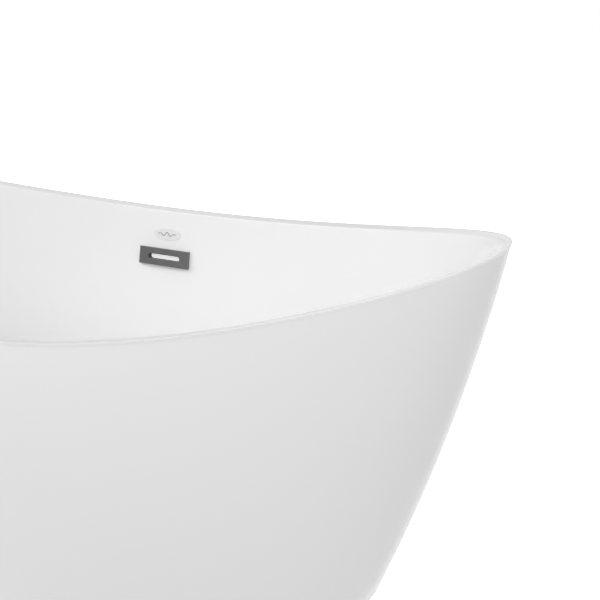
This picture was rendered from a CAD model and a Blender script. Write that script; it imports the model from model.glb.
"""Looks of the freestanding bathtub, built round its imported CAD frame.

The two shells are smooth versions of the CAD ones, from the same formulas. Metres, +Z up, +X along
the bath, +Y towards the overflow.
"""

import math

import bmesh
import bpy
import numpy as np
from mathutils import Matrix, Vector


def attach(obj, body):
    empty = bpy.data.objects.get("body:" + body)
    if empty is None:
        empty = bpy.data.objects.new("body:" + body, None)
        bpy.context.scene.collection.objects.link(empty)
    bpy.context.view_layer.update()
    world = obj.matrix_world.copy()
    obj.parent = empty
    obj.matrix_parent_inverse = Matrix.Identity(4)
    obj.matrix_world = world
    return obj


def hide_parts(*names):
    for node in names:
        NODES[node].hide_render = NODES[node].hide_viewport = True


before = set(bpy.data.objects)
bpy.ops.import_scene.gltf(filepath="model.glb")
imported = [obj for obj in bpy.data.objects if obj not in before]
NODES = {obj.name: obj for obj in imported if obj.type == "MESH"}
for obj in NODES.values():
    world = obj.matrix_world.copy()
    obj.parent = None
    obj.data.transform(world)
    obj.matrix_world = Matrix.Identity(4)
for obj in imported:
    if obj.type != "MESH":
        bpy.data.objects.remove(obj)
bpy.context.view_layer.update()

# ---------------------------------------------------------------- the CAD part's own sizes

LENGTH, WIDTH = 1.700, 0.800
END_HEIGHT, WAIST_HEIGHT = 0.710, 0.575
BASE_LENGTH, BASE_WIDTH = 1.300, 0.620
RIM_PINCH, BASE_PINCH = 0.20, 0.10
SKIRT_BULGE = 0.017
SKIRT_GROUND_GAP = 0.003
SKIRT_WALL = 0.005
SKIRT_LEAN = 0.003
BASIN_WALL = 0.006
RIM_WIDTH = 0.022
RIM_SHELF = 0.0015
SIDE_FALL, END_FALL = 0.0024, 0.0065
CAD_ANGLE_STEPS = 58
WALL_FOOT = (0.560, 0.270, 0.08)
FLAT_FLOOR = (0.450, 0.165, 0.08)
FILLET = 0.125
FLOOR_EDGE_Z, FLOOR_DRAIN_Z = 0.145, 0.140
DRAIN = Vector((0.0, 0.070, 0.0))
RECESS_RADIUS, RECESS_DEPTH = 0.0385, 0.004
DRAIN_HOLE_RADIUS = 0.0255
OVERFLOW_Z, BADGE_Z = 0.470, 0.521
PLATE_SIZE, PLATE_DEPTH, PLATE_SHEET = (0.128, 0.039), 0.008, 0.0015
SLOT_SIZE = (0.082, 0.011)
OPENING_SIZE = (0.092, 0.022)
SCREW_X, SCREW_HOLE_RADIUS = 0.0535, 0.0026
BADGE_SIZE = (0.070, 0.028)
FLANGE_RADIUS, FLANGE_UNDER, FLANGE_TOP = 0.0345, 0.0018, 0.0045
SEAT_RADIUS, SEAT_DEPTH = 0.0270, 0.0065
SHANK_RADIUS, SHANK_BORE, SHANK_BOTTOM_Z = 0.024, 0.0195, 0.0965
SPOKE_SIZE, SPOKE_Z = (0.004, 0.006), 0.115
BOSS_RADIUS, BOSS_BORE, BOSS_HEIGHT = 0.0115, 0.0088, 0.0070
CAP_UNDER_Z, CAP_HEIGHT = 0.1412, 0.0052
SEAL_RADIUS, SEAL_BORE, SEAL_BOTTOM_Z = 0.0249, 0.0180, 0.1393
CENTRE_FOOT_X, CROSSBAR_X, FOOT_Y = -0.120, 0.380, 0.180
STUD_RADIUS, STUD_TOP_Z, STUD_BOTTOM_Z = 0.006, 0.116, 0.0083
NUT_RADIUS, NUT_THICKNESS, LOCK_NUT_THICKNESS, HEXAGON_Z = 0.011, 0.010, 0.006, 0.026
SUPPORT_NUT_Z, LOCK_NUT_Z = 0.0576, 0.0932
PAD_RADIUS, PAD_EDGE, PAD_HEIGHT, SOCKET_Z = 0.026, 0.006, 0.022, 0.008

# Looks only
TURNS = 320  # angle steps round the smooth shells
RIM_RINGS = 12  # rings of faces from the rim's outer edge to the start of its inner curve
VISUAL_WALL = 0.0054  # a little under the CAD basin's wall, because the smooth wall bulges past it
RIM_EDGE = 0.0009  # radius of the rim's outer edge
HOLLOW_DEPTH, HOLLOW_DROP = 0.0008, 0.012  # the outer face's hollow, deepest this far below the rim
SIDE_EXTRA, END_EXTRA = 0.0012, 0.0042  # how far the rim's top ends below the CAD's inner corner
SIDE_ROLL, END_ROLL = 0.0018, 0.0155  # reach of the curve from the rim's top to the basin wall
SKIRT_EDGE = 0.0012  # bevel round the skirt's foot
RECESS_EDGE = 0.0013  # rounding of the drain recess
SLEEVE_END = -0.0070  # how far the slot's sleeve runs back through the wall
WEIR_SIZE, WEIR_Z, WEIR_THICKNESS = (0.0855, 0.0125), -0.0096, 0.0004  # just before the CAD's bar
BADGE_EDGE, BADGE_DOME = 0.0010, 0.0005  # the badge's height at its edge, and its dome above that
WAVE_LENGTH, WAVE_HEIGHT, WAVE_TURNS, WAVE_LINE = 0.046, 0.0045, 2.5, 0.0006
CAP_RADIUS, CAP_DOME = 0.0268, 0.0036  # the dome's fall from its middle to its edge
THREAD_PITCH, THREAD_DEPTH = 0.00175, 0.0006
CAMERA_AZIMUTH, CAMERA_ELEVATION = 24.32, 20.79
CAMERA_DISTANCE, CAMERA_LENS = 1.6513, 57.28
CAMERA_TARGET = Vector((0.4955, 0.0, 0.5649))
LAMP_DISTANCE, LAMP_TARGET = 4.0, Vector((0, 0, 0.4))
BASIN_WHITES = (0.868, 0.870, 0.871), (0.892, 0.892, 0.890)
SIDE_WHITES = (0.784, 0.786, 0.787), (0.806, 0.806, 0.804)
SKIRT_WHITES = (0.812, 0.814, 0.815), (0.838, 0.838, 0.836)

# ---------------------------------------------------------------- the tub's surfaces


def plan(angle, half_length, half_width, pinch):
    """A point on a pointed-oval plan."""
    c, s = math.cos(angle), math.sin(angle)
    return Vector((half_length * c, half_width * s * (1 - pinch * c * c), 0))


def inward(angle):
    """The rim's unit normal in plan, towards the inside."""
    c, s = math.cos(angle), math.sin(angle)
    tangent_y = WIDTH / 2 * (c * (1 - RIM_PINCH * c * c) + 2 * RIM_PINCH * c * s * s)
    return Vector((-tangent_y, -LENGTH / 2 * s, 0)).normalized()


def rim_height(angle):
    return WAIST_HEIGHT + (END_HEIGHT - WAIST_HEIGHT) * math.cos(angle) ** 2


def rim_point(angle, inset, drop=0.0):
    point = plan(angle, LENGTH / 2, WIDTH / 2, RIM_PINCH) + inset * inward(angle)
    point.z = rim_height(angle) - drop
    return point


def skirt_point(angle, height, inset=0.0):
    """The skirt's outer face at a height, or inset metres inside it."""
    share = height / rim_height(angle)
    foot = plan(angle, BASE_LENGTH / 2, BASE_WIDTH / 2, BASE_PINCH)
    head = plan(angle, LENGTH / 2, WIDTH / 2, RIM_PINCH)
    bulge = SKIRT_BULGE * 4 * share * (1 - share) * Vector((math.cos(angle), math.sin(angle), 0))
    point = foot.lerp(head, share) + bulge + inset * inward(angle)
    point.z = height
    return point


def rim_fall(angle):
    """How far the rim's top falls towards the bath."""
    return SIDE_FALL + (END_FALL - SIDE_FALL) * math.cos(angle) ** 4


def flange_drop(angle, inset):
    """How far the flange's underside lies below the rim's outer edge."""
    slope = rim_fall(angle) / (RIM_WIDTH - RIM_SHELF)
    return BASIN_WALL * math.hypot(1, slope) + max(0, inset - RIM_SHELF) * slope


def wall_ends(angle):
    """The straight basin wall's top, at the rim's inner corner, and the corner that it aims at."""
    top = rim_point(angle, RIM_WIDTH, rim_fall(angle))
    foot = plan(angle, *WALL_FOOT)
    foot.z = FLOOR_EDGE_Z
    return top, foot


def wall_at(angle, height):
    """The straight wall's point at a height."""
    top, foot = wall_ends(angle)
    return foot.lerp(top, (height - foot.z) / (top.z - foot.z))


def fillet(angle, share):
    """The curve from the basin wall to its floor, as a quadratic Bezier."""
    top, corner = wall_ends(angle)
    start = corner + FILLET * (top - corner).normalized()
    end = plan(angle, *FLAT_FLOOR)
    end.z = FLOOR_EDGE_Z
    return (1 - share) ** 2 * start + 2 * share * (1 - share) * corner + share**2 * end


def floor_point(angle, share, radius=RECESS_RADIUS, height=FLOOR_DRAIN_Z):
    """The floor falls from its edge (share 0) to a circle round the drain (share 1)."""
    end = DRAIN + radius * Vector((math.cos(angle), math.sin(angle), 0))
    end.z = height
    return fillet(angle, 1).lerp(end, share)


def wall_frame(height):
    """A frame on the CAD wall's flat facet: X along the bath, Y up the wall, Z out of the wall."""
    angle = 2 * math.pi * (CAD_ANGLE_STEPS // 4) / CAD_ANGLE_STEPS
    top, foot = wall_ends(angle)
    place = wall_at(angle, height)
    tilt = math.atan2(top.y - foot.y, top.z - foot.z)
    turn = Matrix.Rotation(math.pi / 2 - tilt, 4, "X")
    return Matrix.Translation((0, place.y, height)) @ turn


def wall_depth(x, height):
    """Where the smooth wall lies on that frame's Z axis, x metres from the frame's middle."""
    low, high = math.radians(60), math.radians(120)
    for _ in range(40):
        middle = (low + high) / 2
        if wall_at(middle, height).x > x:
            low = middle
        else:
            high = middle
    return (wall_frame(height).inverted() @ wall_at(low, height)).z


# ---------------------------------------------------------------- mesh helpers
# Meshes are moved into place, not objects: every object stays at the origin.


def circle(steps):
    """(cosine, sine) pairs at even steps round a full turn."""
    angles = [2 * math.pi * i / steps for i in range(steps)]
    return [(math.cos(angle), math.sin(angle)) for angle in angles]


def arc(centre, radius, start, end, steps):
    """(u, v) points on an arc between two angles in degrees."""
    points = []
    for i in range(steps + 1):
        t = math.radians(start + (end - start) * i / steps)
        points.append((centre[0] + radius * math.cos(t), centre[1] + radius * math.sin(t)))
    return points


def add_object(name, data):
    obj = bpy.data.objects.new(name, data)
    bpy.context.scene.collection.objects.link(obj)
    return obj


def smooth(mesh, angle):
    """Smooth shading, except across edges sharper than an angle in degrees."""
    mesh.shade_smooth()
    mesh.set_sharp_from_angle(angle=math.radians(angle))


def loft(name, rings, wrap, smooth_angle=35):
    """A mesh through closed rings of points. wrap joins the last ring to the first."""
    count = len(rings[0])
    points = [point for ring in rings for point in ring]
    pairs = [(k, (k + 1) % len(rings)) for k in range(len(rings) if wrap else len(rings) - 1)]
    faces = []
    for upper, lower in pairs:
        for i in range(count):
            j = (i + 1) % count
            over, under = upper * count, lower * count
            faces.append((over + i, over + j, under + j, under + i))
    if not wrap:
        faces.append(tuple(range(count)))
        faces.append(tuple(reversed(range((len(rings) - 1) * count, len(rings) * count))))
    mesh = bpy.data.meshes.new(name)
    mesh.from_pydata([tuple(p) for p in points], [], faces)
    bm = bmesh.new()
    bm.from_mesh(mesh)
    bmesh.ops.recalc_face_normals(bm, faces=bm.faces)
    bm.to_mesh(mesh)
    bm.free()
    smooth(mesh, smooth_angle)
    return add_object(name, mesh)


def rounded(profile, radius, closed):
    """A profile with its corners filleted, as far as its sides' lengths let them be."""
    points = [Vector(p) for p in profile]
    count, steps = len(points), 3
    result = []
    for i, here in enumerate(points):
        if not closed and i in (0, count - 1):
            result.append(tuple(here))
            continue
        back, ahead = points[i - 1] - here, points[(i + 1) % count] - here
        reach = min(radius, 0.45 * back.length, 0.45 * ahead.length)
        start, end = here + reach * back.normalized(), here + reach * ahead.normalized()
        for k in range(steps + 1):
            t = k / steps
            result.append(tuple((1 - t) ** 2 * start + 2 * t * (1 - t) * here + t * t * end))
    return result


def turned(name, profile, sides, edge, closed=True):
    """A piece turned about Z from (radius, height) corners, rounded by edge.

    An open profile starts and ends on the axis.
    """
    points = rounded(profile, edge, closed)
    if not closed:
        points = points[1:-1]
    rings = [[(radius * c, radius * s, height) for c, s in circle(sides)] for radius, height in points]
    return loft(name, rings, wrap=closed)


def box(name, size, centre):
    mesh = bpy.data.meshes.new(name)
    bm = bmesh.new()
    bmesh.ops.create_cube(bm, size=1.0)
    bmesh.ops.scale(bm, vec=size, verts=bm.verts)
    bmesh.ops.translate(bm, vec=centre, verts=bm.verts)
    bm.to_mesh(mesh)
    bm.free()
    return add_object(name, mesh)


def prism(name, outline, bottom, top):
    """A flat outline in XY extruded between two heights."""
    rings = [[(x, y, z) for x, y in outline] for z in (bottom, top)]
    return loft(name, rings, wrap=False)


def obround(size):
    """Corner points of a slot with round ends."""
    radius, end_steps = size[1] / 2, 24
    points = []
    for side in (1, -1):
        for i in range(end_steps + 1):
            t = -math.pi / 2 + math.pi * i / end_steps
            x = size[0] / 2 - radius + radius * math.cos(t)
            points.append((side * x, side * radius * math.sin(t)))
    return points


def apply_modifiers(obj):
    """Swaps an object's mesh for its evaluated one."""
    graph = bpy.context.evaluated_depsgraph_get()
    mesh = bpy.data.meshes.new_from_object(obj.evaluated_get(graph))
    old = obj.data
    obj.modifiers.clear()
    obj.data = mesh
    bpy.data.meshes.remove(old)
    return obj


def carve(obj, other, operation="DIFFERENCE"):
    """Cuts obj by other, or joins other to it, and removes other."""
    modifier = obj.modifiers.new("cut", "BOOLEAN")
    modifier.operation = operation
    modifier.object = other
    modifier.solver = "EXACT"
    apply_modifiers(obj)
    bpy.data.objects.remove(other)
    return obj


def soften(obj, width):
    """Rounds an object's edges and shades it smooth, with its flats kept flat."""
    obj.data.shade_smooth()
    bevel = obj.modifiers.new("bevel", "BEVEL")
    bevel.width = width
    bevel.segments = 3
    bevel.limit_method = "ANGLE"
    bevel.angle_limit = math.radians(40)
    weights = obj.modifiers.new("weights", "WEIGHTED_NORMAL")
    weights.weight = 100
    return apply_modifiers(obj)


def place(obj, matrix):
    """Moves an object's mesh, which leaves the object itself at the origin."""
    obj.data.transform(matrix)
    return obj


def join_frame(obj, body="tub", replaces=()):
    """Gives a new piece its slot, its body and the CAD nodes that it stands for."""
    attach(obj, body)
    if replaces:
        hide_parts(*replaces)


def show(obj, material, body="tub", replaces=()):
    """Gives a new piece one material and its place in the frame."""
    obj.data.materials.clear()
    obj.data.materials.append(material)
    join_frame(obj, body, replaces)


# ---------------------------------------------------------------- materials


class Finish:
    """A Principled material and short calls for the nodes that vary it."""

    def __init__(self, name, **sockets):
        self.material = bpy.data.materials.new(name)
        self.material.use_nodes = True
        self.tree = self.material.node_tree
        self.shader = self.tree.nodes["Principled BSDF"]
        self.normal = None
        for socket, value in sockets.items():
            self.shader.inputs[socket.replace("_", " ")].default_value = value
        self.coordinates = self.tree.nodes.new("ShaderNodeTexCoord").outputs["Object"]

    def feed(self, target, value):
        """Links an input to another node's output, or sets its value."""
        if isinstance(value, bpy.types.NodeSocket):
            self.tree.links.new(value, target)
        else:
            target.default_value = value

    def node(self, kind, **inputs):
        made = self.tree.nodes.new(kind)
        for socket, value in inputs.items():
            self.feed(made.inputs[socket.replace("_", " ")], value)
        return made

    def stretch(self, scale, rotation=(0, 0, 0)):
        """Object coordinates scaled along each axis."""
        made = self.node("ShaderNodeMapping", Vector=self.coordinates)
        made.inputs["Scale"].default_value = scale
        made.inputs["Rotation"].default_value = rotation
        return made.outputs["Vector"]

    def noise(self, scale, detail=3.0, roughness=0.5, vector=None, distortion=0.0):
        made = self.node(
            "ShaderNodeTexNoise",
            Vector=vector or self.coordinates,
            Scale=scale,
            Detail=detail,
            Roughness=roughness,
            Distortion=distortion,
        )
        return made.outputs["Fac"]

    def cells(self, scale, output="Distance"):
        made = self.node("ShaderNodeTexVoronoi", Vector=self.coordinates, Scale=scale)
        return made.outputs[output]

    def bands(self, scale, direction, distortion, vector=None):
        made = self.node(
            "ShaderNodeTexWave",
            Vector=vector or self.coordinates,
            Scale=scale,
            Distortion=distortion,
        )
        made.bands_direction = direction
        return made.outputs["Fac"]

    def spread(self, value, low, high, start=0.3, end=0.7):
        """A 0 to 1 value mapped to low to high, with contrast set by start and end."""
        made = self.node(
            "ShaderNodeMapRange", Value=value, From_Min=start, From_Max=end, To_Min=low, To_Max=high
        )
        return made.outputs["Result"]

    def blend(self, factor, first, second):
        """Mixes two colours, or colour sockets, by a factor."""
        made = self.tree.nodes.new("ShaderNodeMix")
        made.data_type = "RGBA"
        self.feed(made.inputs[0], factor)
        for index, value in ((6, first), (7, second)):
            self.feed(made.inputs[index], (*value, 1.0) if isinstance(value, tuple) else value)
        return made.outputs[2]

    def math(self, operation, first, second=0.0):
        made = self.tree.nodes.new("ShaderNodeMath")
        made.operation = operation
        self.feed(made.inputs[0], first)
        self.feed(made.inputs[1], second)
        return made.outputs[0]

    def colour(self, value):
        self.tree.links.new(value, self.shader.inputs["Base Color"])

    def roughness(self, value):
        self.tree.links.new(value, self.shader.inputs["Roughness"])

    def bump(self, height, strength, distance):
        """Adds a bump to those made before it."""
        made = self.node("ShaderNodeBump", Height=height, Strength=strength, Distance=distance)
        if self.normal:
            self.tree.links.new(self.normal, made.inputs["Normal"])
        self.normal = made.outputs["Normal"]
        self.tree.links.new(self.normal, self.shader.inputs["Normal"])


def acrylic(name, whites, **sockets):
    """Glossy white cast sheet: a hint of waviness from forming, orange peel and faint clouding."""
    made = Finish(name, **sockets)
    clouds = made.noise(1.7, detail=3)
    made.colour(made.blend(clouds, *whites))
    made.roughness(made.spread(made.noise(14, detail=4), 0.17, 0.24))
    made.bump(made.noise(2.2, detail=1), 0.10, 0.004)
    made.bump(made.noise(240, detail=2), 0.05, 0.0002)
    return made.material


def rim_acrylic():
    """The basin's sheet where it is stretched thin over the rim: a little greyer along the sides."""
    made = Finish("acrylic_rim", Specular_IOR_Level=0.3)
    clouds = made.noise(1.7, detail=3)
    sides = made.blend(clouds, *SIDE_WHITES)
    ends = made.blend(clouds, *BASIN_WHITES)
    along = made.node("ShaderNodeSeparateXYZ", Vector=made.coordinates)
    reach = made.math("ABSOLUTE", along.outputs["X"])
    made.colour(made.blend(made.spread(reach, 0, 1, 0.50, 0.78), sides, ends))
    made.roughness(made.spread(made.noise(14, detail=4), 0.20, 0.27))
    made.bump(made.noise(240, detail=2), 0.05, 0.0002)
    return made.material


def glass_fibre():
    """The shells' hidden faces: chopped strands rolled into resin."""
    made = Finish("glass_fibre", Coat_Weight=0.2, Coat_Roughness=0.25)
    first = made.bands(90, "X", 9.0, made.stretch((1, 1, 1), (0.3, 0.2, 0.5)))
    second = made.bands(110, "Y", 11.0, made.stretch((1, 1, 1), (0.1, 0.6, 1.1)))
    strands = made.math("MAXIMUM", first, second)
    base = made.blend(made.noise(7, detail=5), (0.66, 0.65, 0.57), (0.76, 0.75, 0.69))
    made.colour(made.blend(made.spread(strands, 0, 0.5, 0.6, 1.0), base, (0.84, 0.84, 0.80)))
    made.roughness(made.spread(strands, 0.65, 0.4))
    made.bump(strands, 0.5, 0.0008)
    made.bump(made.noise(30, detail=4), 0.5, 0.0015)
    return made.material


def gunmetal():
    """Satin dark plate with a fine grain along the bath."""
    made = Finish("gunmetal", Metallic=0.85, Coat_Weight=0.15, Coat_Roughness=0.2)
    grain = made.noise(1, detail=5, roughness=0.6, vector=made.stretch((60, 2400, 2400)))
    clouds = made.noise(24, detail=3)
    made.colour(made.blend(clouds, (0.202, 0.203, 0.207), (0.230, 0.231, 0.234)))
    uneven = made.spread(clouds, -0.03, 0.03)
    made.roughness(made.math("ADD", made.spread(grain, 0.34, 0.46), uneven))
    made.bump(grain, 0.12, 0.00006)
    return made.material


def zinc(name, tint, scale):
    """Bright zinc plate: large soft spangles, fine scuffs and a faint passivation tint."""
    made = Finish(name, Metallic=1.0)
    grey = made.node("ShaderNodeRGBToBW", Color=made.cells(scale, output="Color")).outputs[0]
    across = made.stretch((90, 900, 500), (0.2, 0.1, 0.6))
    scuffs = made.noise(1, detail=6, roughness=0.65, vector=across)
    base = made.blend(grey, (0.54, 0.55, 0.57), (0.66, 0.67, 0.69))
    made.colour(made.blend(made.spread(made.noise(35, detail=4), 0, 0.35), base, tint))
    worn = made.spread(scuffs, 0, 0.16)
    made.roughness(made.math("ADD", made.spread(grey, 0.26, 0.36, 0, 1), worn))
    made.bump(scuffs, 0.15, 0.0001)
    return made.material


def rubber():
    made = Finish("black_rubber", Sheen_Weight=0.15, Sheen_Roughness=0.4)
    dust = made.noise(60, detail=5, roughness=0.6)
    dusty = made.spread(dust, 0, 1, 0.45, 0.75)
    made.colour(made.blend(dusty, (0.018, 0.018, 0.019), (0.050, 0.049, 0.047)))
    made.roughness(made.spread(dust, 0.68, 0.88))
    made.bump(made.noise(900, detail=3), 0.3, 0.0001)
    return made.material


def plastic(name, dark, light, roughness):
    """Moulded plastic with a fine spark-eroded texture."""
    made = Finish(name, IOR=1.52)
    flow = made.noise(1, detail=3, vector=made.stretch((18, 18, 6)), distortion=0.6)
    made.colour(made.blend(flow, dark, light))
    made.roughness(made.spread(flow, roughness - 0.04, roughness + 0.06))
    made.bump(made.noise(1400, detail=2), 0.2, 0.00006)
    return made.material


def brass():
    """Turned brass: fine tool rings and slight tarnish."""
    made = Finish("brass", Metallic=1.0)
    rings = made.bands(900, "Z", 0.8)
    tarnish = made.noise(45, detail=5)
    dull = made.spread(tarnish, 0, 1, 0.4, 0.8)
    made.colour(made.blend(dull, (0.72, 0.52, 0.23), (0.50, 0.34, 0.15)))
    ringed = made.spread(rings, 0, 0.06, 0, 1)
    made.roughness(made.math("ADD", made.spread(tarnish, 0.22, 0.40), ringed))
    made.bump(rings, 0.15, 0.00008)
    return made.material


def foam():
    made = Finish("closed_cell_foam")
    cells = made.cells(1500)
    made.colour(made.blend(cells, (0.70, 0.69, 0.65), (0.82, 0.81, 0.78)))
    made.roughness(made.spread(cells, 0.75, 0.9, 0, 1))
    made.bump(cells, 0.5, 0.0002)
    return made.material


def adhesive():
    """Bonding paste, squeezed out and cured."""
    made = Finish("bonding_paste")
    lumps = made.noise(80, detail=4, distortion=0.5)
    made.colour(made.blend(lumps, (0.60, 0.58, 0.50), (0.78, 0.77, 0.70)))
    made.roughness(made.spread(lumps, 0.45, 0.7))
    made.bump(lumps, 0.6, 0.001)
    return made.material


def plywood():
    """Plies that show on the edge, grain along the board and a thin coat of resin."""
    made = Finish("resin_coated_plywood", Coat_Weight=0.3, Coat_Roughness=0.3)
    along = made.stretch((6, 90, 90))
    grain = made.noise(1, detail=6, roughness=0.65, vector=along, distortion=0.4)
    plies = made.bands(210, "Z", 0.3)
    wood = made.blend(made.spread(grain, 0, 1), (0.40, 0.26, 0.13), (0.66, 0.48, 0.28))
    made.colour(made.blend(made.spread(plies, 0, 0.45, 0.3, 0.9), wood, (0.26, 0.16, 0.08)))
    made.roughness(made.spread(grain, 0.45, 0.65))
    made.bump(grain, 0.35, 0.0004)
    return made.material


def weir_plastic():
    """Translucent white plastic, lit from behind by the light between the shells."""
    made = Finish("weir_plastic", Roughness=0.4, Emission_Strength=0.60)
    flow = made.noise(30, detail=3)
    made.colour(made.blend(flow, (0.80, 0.80, 0.79), (0.86, 0.86, 0.85)))
    glow = made.blend(flow, (0.94, 0.94, 0.93), (1.0, 1.0, 1.0))
    made.tree.links.new(glow, made.shader.inputs["Emission Color"])
    return made.material


def badge_metal():
    """Pale satin plate."""
    made = Finish("badge_satin", Metallic=0.08, Coat_Weight=0.2, Coat_Roughness=0.1)
    grain = made.noise(1, detail=4, vector=made.stretch((80, 3000, 3000)))
    made.colour(made.blend(grain, (0.81, 0.81, 0.815), (0.85, 0.85, 0.85)))
    made.roughness(made.spread(grain, 0.26, 0.36))
    made.bump(grain, 0.08, 0.00005)
    return made.material


def enamel():
    """Dark fill of the badge's line."""
    made = Finish("dark_enamel", Coat_Weight=0.5, Coat_Roughness=0.1)
    clouds = made.noise(300, detail=3)
    made.colour(made.blend(clouds, (0.040, 0.040, 0.042), (0.075, 0.075, 0.078)))
    made.roughness(made.spread(clouds, 0.3, 0.45))
    return made.material


BASIN_ACRYLIC = acrylic(
    "acrylic_basin", BASIN_WHITES, IOR=1.47, Coat_Weight=0.15, Coat_Roughness=0.05
)
SKIRT_ACRYLIC = acrylic("acrylic_skirt", SKIRT_WHITES, Specular_IOR_Level=0.12)
RIM_ACRYLIC = rim_acrylic()
GLASS_FIBRE = glass_fibre()
GUNMETAL = gunmetal()
ZINC = zinc("zinc_plate", (0.62, 0.60, 0.50), 160)
TUBE_STEEL = zinc("galvanised_tube", (0.50, 0.52, 0.56), 70)
SPRING_STEEL = zinc("spring_steel", (0.55, 0.54, 0.52), 600)
RUBBER = rubber()
WHITE_ABS = plastic("white_abs", (0.76, 0.76, 0.75), (0.82, 0.82, 0.81), 0.38)
BLACK_SLEEVE = plastic("black_sleeve", (0.008, 0.008, 0.009), (0.016, 0.016, 0.017), 0.5)
NYLON = plastic("natural_nylon", (0.70, 0.69, 0.64), (0.79, 0.78, 0.74), 0.48)
BRASS = brass()
FOAM = foam()
ADHESIVE = adhesive()
PLYWOOD = plywood()
WEIR = weir_plastic()
BADGE = badge_metal()
ENAMEL = enamel()

# ---------------------------------------------------------------- shells

ANGLES = [2 * math.pi * i / TURNS for i in range(TURNS)]


def outer_point(angle, drop, inset=0.0):
    """The outer face drop metres below the rim, hollowed a little just under it."""
    hollow = HOLLOW_DEPTH * drop / HOLLOW_DROP * math.exp(1 - drop / HOLLOW_DROP)
    return skirt_point(angle, rim_height(angle) - drop, inset + hollow)


def roll_reach(angle):
    """How far the rim's inner curve runs along the top and down the wall."""
    return SIDE_ROLL + (END_ROLL - SIDE_ROLL) * math.cos(angle) ** 6


def rim_roll(angle, share):
    """The curve from the rim's top to the basin wall, as a quadratic Bezier."""
    top, wall_foot = wall_ends(angle)
    extra = SIDE_EXTRA + (END_EXTRA - SIDE_EXTRA) * math.cos(angle) ** 6
    corner = top + extra * (wall_foot - top).normalized()
    reach = roll_reach(angle)
    start = corner + reach * (rim_point(angle, RIM_SHELF) - corner).normalized()
    end = corner + reach * (wall_foot - corner).normalized()
    return (1 - share) ** 2 * start + 2 * share * (1 - share) * corner + share**2 * end


def basin_wet():
    """Rings over the basin's wet face, from under the rim's outer edge to the drain hole."""
    rings = []
    outer = arc((RIM_EDGE, RIM_EDGE), RIM_EDGE, 180, 270, 6)
    for inset, drop in [(0.0, BASIN_WALL), (0.0, 0.0045), *outer]:
        rings.append([outer_point(a, drop, inset) for a in ANGLES])
    for share in (0, 0.35, 0.7):
        rings.append([rim_point(a, RIM_SHELF).lerp(rim_roll(a, 0), share) for a in ANGLES])
    for i in range(13):
        rings.append([rim_roll(a, i / 12) for a in ANGLES])
    for i in range(1, 45):
        rings.append([rim_roll(a, 1).lerp(fillet(a, 0), i / 44) for a in ANGLES])
    for i in range(1, 19):
        rings.append([fillet(a, i / 18) for a in ANGLES])
    for share in (0.12, 0.25, 0.4, 0.55, 0.7, 0.85, 0.95):
        rings.append([floor_point(a, share) for a in ANGLES])
    recess_z = FLOOR_DRAIN_Z - RECESS_DEPTH
    edge = RECESS_EDGE
    profile = arc((RECESS_RADIUS + edge, FLOOR_DRAIN_Z - edge), edge, 90, 180, 4)
    profile += arc((RECESS_RADIUS - edge, recess_z + edge), edge, 0, -90, 4)
    profile.append((DRAIN_HOLE_RADIUS, recess_z))
    for radius, height in profile:
        rings.append([floor_point(a, 1, radius, height) for a in ANGLES])
    return rings


def basin_dry():
    """Rings over the basin's hidden face, from the drain hole back to the rim's outer edge."""
    under = VISUAL_WALL
    recess_z = FLOOR_DRAIN_Z - RECESS_DEPTH
    rings = [
        [floor_point(a, 1, DRAIN_HOLE_RADIUS, recess_z - under) for a in ANGLES],
        [floor_point(a, 1, RECESS_RADIUS + under, recess_z - under) for a in ANGLES],
        [floor_point(a, 1, RECESS_RADIUS + under, FLOOR_DRAIN_Z - under) for a in ANGLES],
    ]
    for share in (0.6, 0.2):
        rings.append([floor_point(a, share) - Vector((0, 0, under)) for a in ANGLES])
    rings += offset_rings([[fillet(a, 1 - i / 10) for a in ANGLES] for i in range(11)], under)
    wall_shares = [1 - i / 12 for i in range(1, 12)]
    walls = [[wall_ends(a)[0].lerp(fillet(a, 0), share) for a in ANGLES] for share in wall_shares]
    rings += offset_rings(walls, under)
    for inset in (RIM_WIDTH - 0.004, RIM_SHELF):
        rings.append([rim_point(a, inset, flange_drop(a, inset)) for a in ANGLES])
    return rings


def offset_rings(rings, distance):
    """Rings moved along their surface's normal, away from the water."""
    points = np.array([[tuple(p) for p in ring] for ring in rings])
    along = np.roll(points, -1, axis=1) - np.roll(points, 1, axis=1)
    across = np.gradient(points, axis=0)
    normal = np.cross(along, across)
    normal /= np.linalg.norm(normal, axis=2, keepdims=True)
    if normal[0, :, 2].mean() > 0:
        normal = -normal
    return [list(ring) for ring in points + distance * normal]


def make_basin():
    """The basin with its holes: acrylic on the wet face, greyer over the rim, glass fibre behind."""
    wet, dry = basin_wet(), basin_dry()
    basin = loft("basin", wet + dry, wrap=True, smooth_angle=40)
    mark_dry(basin, (len(wet) - 1) * TURNS, BASIN_ACRYLIC)
    basin.data.materials.append(RIM_ACRYLIC)
    for face in basin.data.polygons[: RIM_RINGS * TURNS]:
        face.material_index = 2
    here = wall_frame(OVERFLOW_Z)
    radius = SCREW_HOLE_RADIUS
    outlines = [obround(OPENING_SIZE)]
    outlines += [[(x + radius * c, radius * s) for c, s in circle(20)] for x in (-SCREW_X, SCREW_X)]
    for outline in outlines:
        carve(basin, place(prism("opening", outline, -0.02, 0.02), here))
    smooth(basin.data, 40)
    join_frame(basin, replaces=["inner_shell"])


def mark_dry(obj, first, wet_material):
    """Gives the glass fibre to the faces from the first hidden one onwards."""
    obj.data.materials.append(wet_material)
    obj.data.materials.append(GLASS_FIBRE)
    for face in obj.data.polygons:
        face.material_index = int(face.index >= first)


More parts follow.
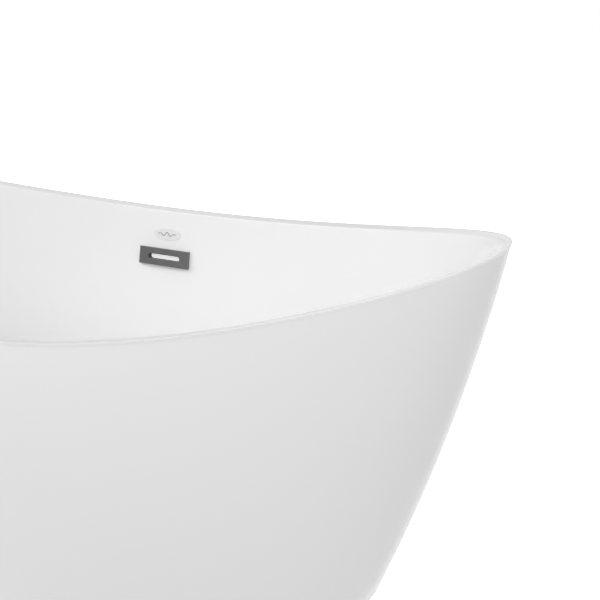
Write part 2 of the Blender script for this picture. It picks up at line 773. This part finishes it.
def make_skirt():
    """The skirt, from just under the rim's flange down to its bevelled foot."""
    levels, gap = 36, 0.0001
    foot = SKIRT_GROUND_GAP

    def ring(share, inset, under=0.0):
        """A ring at a share of the way down."""
        points = []
        for a in ANGLES:
            head = flange_drop(a, under) + gap
            points.append(outer_point(a, head + share * (rim_height(a) - foot - head), inset))
        return points

    outside = [ring((i / levels) ** 2, 0) for i in range(levels)]
    for height, inset in ((SKIRT_EDGE, 0), (SKIRT_EDGE * 0.3, SKIRT_EDGE * 0.3), (0, SKIRT_EDGE)):
        outside.append([skirt_point(a, foot + height, inset) for a in ANGLES])
    inside = [ring(1 - i / 12, SKIRT_WALL, SKIRT_WALL + SKIRT_LEAN) for i in range(13)]
    skirt = loft("skirt", outside + inside, wrap=True, smooth_angle=40)
    mark_dry(skirt, len(outside) * TURNS, SKIRT_ACRYLIC)
    join_frame(skirt, replaces=["outer_shell"])


make_basin()
make_skirt()

# ---------------------------------------------------------------- overflow


def in_slot(point):
    """Whether a point of the cover, in the wall's frame, is on the slot's inner face."""
    near = 0.0002
    within = abs(point.x) < SLOT_SIZE[0] / 2 + near and abs(point.y) < SLOT_SIZE[1] / 2 + near
    return within and point.z < PLATE_DEPTH - 0.0006


def make_overflow_cover():
    """The pressed cover: rounded edges, a back that follows the wall and a black sleeve in its slot.

    The pale weir face shows through the slot.
    """
    spare = 0.003  # how far the block starts behind the flat wall, before it is cut to the curved one
    block = (*PLATE_SIZE, PLATE_DEPTH + spare)
    cover = box("overflow_cover_plate", block, (0, 0, (PLATE_DEPTH - spare) / 2))
    inside = [side - 2 * PLATE_SHEET for side in PLATE_SIZE]
    hollow_z = -PLATE_SHEET + PLATE_DEPTH / 2 - 0.0001
    carve(cover, box("hollow", (*inside, PLATE_DEPTH), (0, 0, hollow_z)))
    reach = PLATE_SIZE[0] / 2 + 0.01
    wall = [(x, wall_depth(x, OVERFLOW_Z) + 0.0002) for x in np.linspace(-reach, reach, 25)]
    wall += [(reach, -0.05), (-reach, -0.05)]
    behind = prism("wall", wall, -PLATE_SIZE[1], PLATE_SIZE[1])
    place(behind, Matrix.Rotation(math.pi / 2, 4, "X"))
    carve(cover, behind)
    outer = (SLOT_SIZE[0] + 2 * PLATE_SHEET, SLOT_SIZE[1] + 2 * PLATE_SHEET)
    sleeve = prism("sleeve", obround(outer), SLEEVE_END, PLATE_DEPTH - PLATE_SHEET / 2)
    carve(cover, sleeve, "UNION")
    carve(cover, prism("slot", obround(SLOT_SIZE), -0.03, 0.03))
    soften(cover, 0.0004)
    lining = [face.index for face in cover.data.polygons if in_slot(face.center)]
    place(cover, wall_frame(OVERFLOW_Z))
    show(cover, GUNMETAL, replaces=["overflow_cover"])
    cover.data.materials.append(BLACK_SLEEVE)
    for index in lining:
        cover.data.polygons[index].material_index = 1

    weir = prism("overflow_weir_face", obround(WEIR_SIZE), WEIR_Z, WEIR_Z + WEIR_THICKNESS)
    place(weir, wall_frame(OVERFLOW_Z))
    show(weir, WEIR)


def badge_lift(share):
    """The badge's height above the wall, a share of the way from its middle to its edge."""
    return BADGE_EDGE + BADGE_DOME * (1 - share**2)


def make_badge():
    """A slightly domed oval plate that follows the wall, with one wavy line in dark enamel."""
    here = wall_frame(BADGE_Z)

    def ring(share, lift):
        row = []
        for c, s in circle(96):
            x, y = share * BADGE_SIZE[0] / 2 * c, share * BADGE_SIZE[1] / 2 * s
            row.append((x, y, wall_depth(x, BADGE_Z) + lift))
        return row

    side = [(1.0, 0.0002), (1.0, 0.0007), (0.992, 0.00105), (0.975, 0.0012)]
    side += [(0.955, 0.00115), (0.94, BADGE_EDGE)]
    dome = [(share, badge_lift(share)) for share in (0.93, 0.8, 0.6, 0.4, 0.2, 0.05)]
    back = [(share, 0.0002) for share in (0.05, 0.5, 0.98)]
    rings = [ring(share, lift) for share, lift in side + dome + back]
    badge = loft("badge_plate", rings, wrap=True)
    place(badge, here)
    show(badge, BADGE, replaces=["badge"])

    line = bpy.data.curves.new("badge_wave", "CURVE")
    line.dimensions = "3D"
    line.bevel_depth = WAVE_LINE
    line.bevel_resolution = 3
    line.use_fill_caps = True
    spline = line.splines.new("POLY")
    count = 72
    spline.points.add(count)
    for i, point in enumerate(spline.points):
        x = WAVE_LENGTH * (i / count - 0.5)
        swing = math.sin(2 * math.pi * WAVE_TURNS * i / count)
        y = WAVE_HEIGHT * swing * math.sin(math.pi * i / count)
        z = wall_depth(x, BADGE_Z) + badge_lift(2 * x / BADGE_SIZE[0])
        point.co = (*(here @ Vector((x, y, z))), 1)
    show(add_object("badge_wave", line), ENAMEL)


make_overflow_cover()
make_badge()

# ---------------------------------------------------------------- waste


def make_waste():
    """The strainer body with its cross, and the stopper's domed cap and seal above it."""
    here = Matrix.Translation(DRAIN)
    recess_z = FLOOR_DRAIN_Z - RECESS_DEPTH
    top, under = recess_z + FLANGE_TOP, recess_z + FLANGE_UNDER
    profile = [
        (FLANGE_RADIUS, top - 0.0009),
        (FLANGE_RADIUS, under),
        (SHANK_RADIUS, under),
        (SHANK_RADIUS, SHANK_BOTTOM_Z),
        (SHANK_BORE, SHANK_BOTTOM_Z),
        (SHANK_BORE, top - SEAT_DEPTH),
        (SEAT_RADIUS, top - 0.0004),
        (SEAT_RADIUS + 0.0005, top),
        (FLANGE_RADIUS - 0.0016, top),
    ]
    flange = turned("drain_strainer", profile, 96, 0.0005)
    reach = 2 * (SHANK_BORE + 0.0015)
    width, height = SPOKE_SIZE
    for size in ((reach, width, height), (width, reach, height)):
        carve(flange, soften(box("spoke", size, (0, 0, SPOKE_Z)), 0.0008), "UNION")
    low, high = SPOKE_Z - BOSS_HEIGHT / 2, SPOKE_Z + BOSS_HEIGHT / 2
    boss = [(0, high), (BOSS_RADIUS, high), (BOSS_RADIUS, low), (0, low)]
    carve(flange, turned("boss", boss, 48, 0.0005, closed=False), "UNION")
    bore = [(0, high + 0.006), (BOSS_BORE, high + 0.006), (BOSS_BORE, low - 0.011), (0, low - 0.011)]
    carve(flange, turned("boss_bore", bore, 48, 0.0002, closed=False))
    smooth(flange.data, 35)
    place(flange, here)
    show(flange, GUNMETAL, replaces=["drain_flange"])

    crown_z = CAP_UNDER_Z + CAP_HEIGHT
    dome = [(CAP_RADIUS * r, crown_z - CAP_DOME * r**2.6) for r in (0.2, 0.4, 0.6, 0.8, 0.9)]
    profile = [(0, crown_z), *dome]
    profile += [(CAP_RADIUS - 0.0004, CAP_UNDER_Z + 0.0014), (CAP_RADIUS, CAP_UNDER_Z + 0.0007)]
    profile += [(CAP_RADIUS - 0.0008, CAP_UNDER_Z), (0, CAP_UNDER_Z)]
    cap = turned("stopper_dome", profile, 96, 0.0004, closed=False)
    place(cap, here)
    show(cap, GUNMETAL, "stopper", ["stopper_cap"])

    seal_top = CAP_UNDER_Z - 0.0003
    profile = [(SEAL_RADIUS, seal_top), (SEAL_RADIUS, SEAL_BOTTOM_Z)]
    profile += [(SEAL_BORE, SEAL_BOTTOM_Z), (SEAL_BORE, seal_top)]
    seal = turned("stopper_ring", profile, 96, 0.0007)
    place(seal, here)
    show(seal, RUBBER, "stopper", ["stopper_seal"])


make_waste()

# ---------------------------------------------------------------- levelling feet


def hexagon(name, bottom, top, bore=0.0):
    """A hexagon nut with its corners turned down to a chamfer, bored if it has a thread."""
    corners = [(NUT_RADIUS * s, NUT_RADIUS * c) for c, s in circle(6)]
    nut = prism(name, corners, bottom, top)
    flat = NUT_RADIUS * math.cos(math.pi / 6)
    edge, wide = 0.0007, NUT_RADIUS + 0.0003
    turned_down = [(0, top), (flat, top), (wide, top - edge)]
    turned_down += [(wide, bottom + edge), (flat, bottom), (0, bottom)]
    carve(nut, turned("turned_down", turned_down, 48, 0.0001, closed=False), "INTERSECT")
    if bore:
        beyond, deep = 0.001, 0.0011
        mouth = bore + 0.0012
        hole = [(0, top + beyond), (mouth, top + beyond), (mouth, top), (bore, top - deep)]
        hole += [(bore, bottom + deep), (mouth, bottom), (mouth, bottom - beyond)]
        hole.append((0, bottom - beyond))
        carve(nut, turned("hole", hole, 32, 0.0, closed=False))
    return nut


def threaded_rod(name, radius, bottom, top):
    """A rod with a helical thread and a plain point at each end."""
    sides, per_turn, point_length = 24, 5, 0.001
    count = int((top - bottom - 2 * point_length) / THREAD_PITCH * per_turn)
    rings = [[(0.75 * radius * c, 0.75 * radius * s, bottom) for c, s in circle(sides)]]
    for k in range(count + 1):
        height = bottom + point_length + k * THREAD_PITCH / per_turn
        ring = []
        for i, (c, s) in enumerate(circle(sides)):
            phase = (k / per_turn - i / sides) % 1
            here = radius - THREAD_DEPTH * (1 - abs(2 * phase - 1))
            ring.append((here * c, here * s, height))
        rings.append(ring)
    rings.append([(0.75 * radius * c, 0.75 * radius * s, top) for c, s in circle(sides)])
    return loft(name, rings, wrap=False, smooth_angle=28)


def make_foot(name, x, y):
    """A threaded stud with its spanner hexagon, a rubber pad and the two nuts on the crossbar."""
    here = Matrix.Translation((x, y, 0))
    stud = threaded_rod(f"stud_{name}", STUD_RADIUS, STUD_BOTTOM_Z, STUD_TOP_Z)
    carve(stud, hexagon("spanner_hexagon", HEXAGON_Z, HEXAGON_Z + NUT_THICKNESS), "UNION")
    place(stud, here)
    show(stud, ZINC, f"foot_{name}", [f"foot_stud_{name}"])
    socket = STUD_RADIUS + 0.0003
    profile = [(0, SOCKET_Z), (socket, SOCKET_Z), (socket, PAD_HEIGHT), (0.0100, PAD_HEIGHT)]
    profile += [(0.0125, 0.010), (PAD_RADIUS, PAD_EDGE), (PAD_RADIUS, 0), (0.0235, 0), (0.0228, 0.0008)]
    profile += [(0.0190, 0.0008), (0.0183, 0), (0, 0)]
    pad = turned(f"pad_{name}", profile, 72, 0.0009, closed=False)
    place(pad, here)
    show(pad, RUBBER, f"foot_{name}", [f"foot_pad_{name}"])
    for which, bottom, thickness in (
        ("support_nut", SUPPORT_NUT_Z, NUT_THICKNESS),
        ("lock_nut", LOCK_NUT_Z, LOCK_NUT_THICKNESS),
    ):
        nut = hexagon(f"{which}_piece_{name}", bottom, bottom + thickness, socket)
        place(nut, here)
        show(nut, ZINC, replaces=[f"{which}_{name}"])


make_foot("centre", CENTRE_FOOT_X, 0)
for end, foot_x in (("left", -CROSSBAR_X), ("right", CROSSBAR_X)):
    for side, foot_y in (("front", -FOOT_Y), ("rear", FOOT_Y)):
        make_foot(f"{end}_{side}", foot_x, foot_y)

# ---------------------------------------------------------------- materials of the CAD nodes that stay

NODE_FINISH = {
    "rim_bond_bead": ADHESIVE,
    "base_board": PLYWOOD,
    "frame_rail": TUBE_STEEL,
    "crossbar": TUBE_STEEL,
    "board_screw": ZINC,
    "drain_foam_washer": FOAM,
    "drain_rubber_gasket": RUBBER,
    "drain_slip_washer": NYLON,
    "drain_lock_nut": BRASS,
    "click_barrel": BRASS,
    "click_spring": SPRING_STEEL,
    "stopper_stem": BRASS,
    "drain_body": WHITE_ABS,
    "tailpiece": WHITE_ABS,
    "overflow_bracket": ZINC,
    "overflow_screw": ZINC,
    "overflow_gasket": RUBBER,
    "overflow_box": WHITE_ABS,
    "overflow_pipe": WHITE_ABS,
    "pipe_clamp": ZINC,
}


def dress_nodes():
    """Each CAD node that stays gets the finish whose key starts its name."""
    for name, obj in NODES.items():
        for start, material in NODE_FINISH.items():
            if name.startswith(start):
                obj.data.materials.clear()
                obj.data.materials.append(material)


dress_nodes()

# ---------------------------------------------------------------- studio


def studio_white(name, glow):
    """Plain white with a glow of its own."""
    made = Finish(name, Roughness=0.9, Emission_Strength=glow)
    made.shader.inputs["Emission Color"].default_value = (1, 1, 1, 1)
    made.colour(made.blend(made.noise(2, detail=2), (0.90, 0.90, 0.90), (0.92, 0.92, 0.92)))
    return made.material


def add_stage(name, points, faces, material):
    """A part of the studio that looks white, while the world behind it lights the tub instead."""
    mesh = bpy.data.meshes.new(name)
    mesh.from_pydata(points, [], faces)
    mesh.materials.append(material)
    obj = add_object(name, mesh)
    obj.visible_diffuse = False
    obj.visible_shadow = False
    return obj


def make_floor():
    """A floor that runs past the backdrop."""
    half = 60.0
    corners = [(-half, -half, 0), (half, -half, 0), (half, half, 0), (-half, half, 0)]
    add_stage("floor", corners, [(0, 1, 2, 3)], studio_white("studio_floor", 0.82))


def make_backdrop():
    """A round wall that closes the horizon in the side views."""
    steps, radius, height = 48, 55.0, 60.0
    points = [(radius * c, radius * s, z) for z in (0, height) for c, s in circle(steps)]
    faces = [(i, (i + 1) % steps, steps + (i + 1) % steps, steps + i) for i in range(steps)]
    wall = add_stage("backdrop", points, faces, studio_white("studio_wall", 1.0))
    wall.visible_glossy = False


def aim(obj, target, azimuth, elevation, distance):
    """Stands a lamp or camera off from its target, at angles in degrees from the front, facing it."""
    a, e = math.radians(azimuth), math.radians(elevation)
    away = Vector((math.sin(a) * math.cos(e), -math.cos(a) * math.cos(e), math.sin(e)))
    obj.location = target + distance * away
    obj.rotation_mode = "QUATERNION"
    obj.rotation_quaternion = (-away).to_track_quat("-Z", "Y")


def soft_light(name, azimuth, elevation, size, power):
    """A square soft box that looks at the tub's middle."""
    lamp = bpy.data.lights.new(name, "AREA")
    lamp.shape = "SQUARE"
    lamp.size = size
    lamp.energy = power
    aim(add_object(name, lamp), LAMP_TARGET, azimuth, elevation, LAMP_DISTANCE)


def make_world(above, below):
    """A plain sky, with its own brightness above and below the horizon."""
    world = bpy.data.worlds.new("studio")
    world.use_nodes = True
    tree = world.node_tree
    background = tree.nodes["Background"]
    background.inputs["Color"].default_value = (1, 1, 1, 1)
    sky = tree.nodes.new("ShaderNodeTexCoord")
    parts = tree.nodes.new("ShaderNodeSeparateXYZ")
    level = tree.nodes.new("ShaderNodeMapRange")
    level.inputs["From Min"].default_value = -0.15
    level.inputs["From Max"].default_value = 0.15
    level.inputs["To Min"].default_value = below
    level.inputs["To Max"].default_value = above
    tree.links.new(sky.outputs["Generated"], parts.inputs[0])
    tree.links.new(parts.outputs["Z"], level.inputs["Value"])
    tree.links.new(level.outputs["Result"], background.inputs["Strength"])
    bpy.context.scene.world = world


def make_camera():
    """The camera at the reference view."""
    lens = bpy.data.cameras.new("camera")
    lens.lens = CAMERA_LENS
    lens.sensor_width = 36.0
    camera = add_object("camera", lens)
    aim(camera, CAMERA_TARGET, CAMERA_AZIMUTH, CAMERA_ELEVATION, CAMERA_DISTANCE)
    bpy.context.scene.camera = camera


make_floor()
make_backdrop()
make_world(above=0.20, below=0.81)
soft_light("left_box", -70, 45, size=3.0, power=88)
soft_light("front_box", 30, 45, size=4.0, power=79)
soft_light("fill_box", 15, 40, size=5.0, power=30)
soft_light("back_box", 180, 40, size=6.0, power=30)
make_camera()
bpy.context.scene.view_settings.view_transform = "Standard"
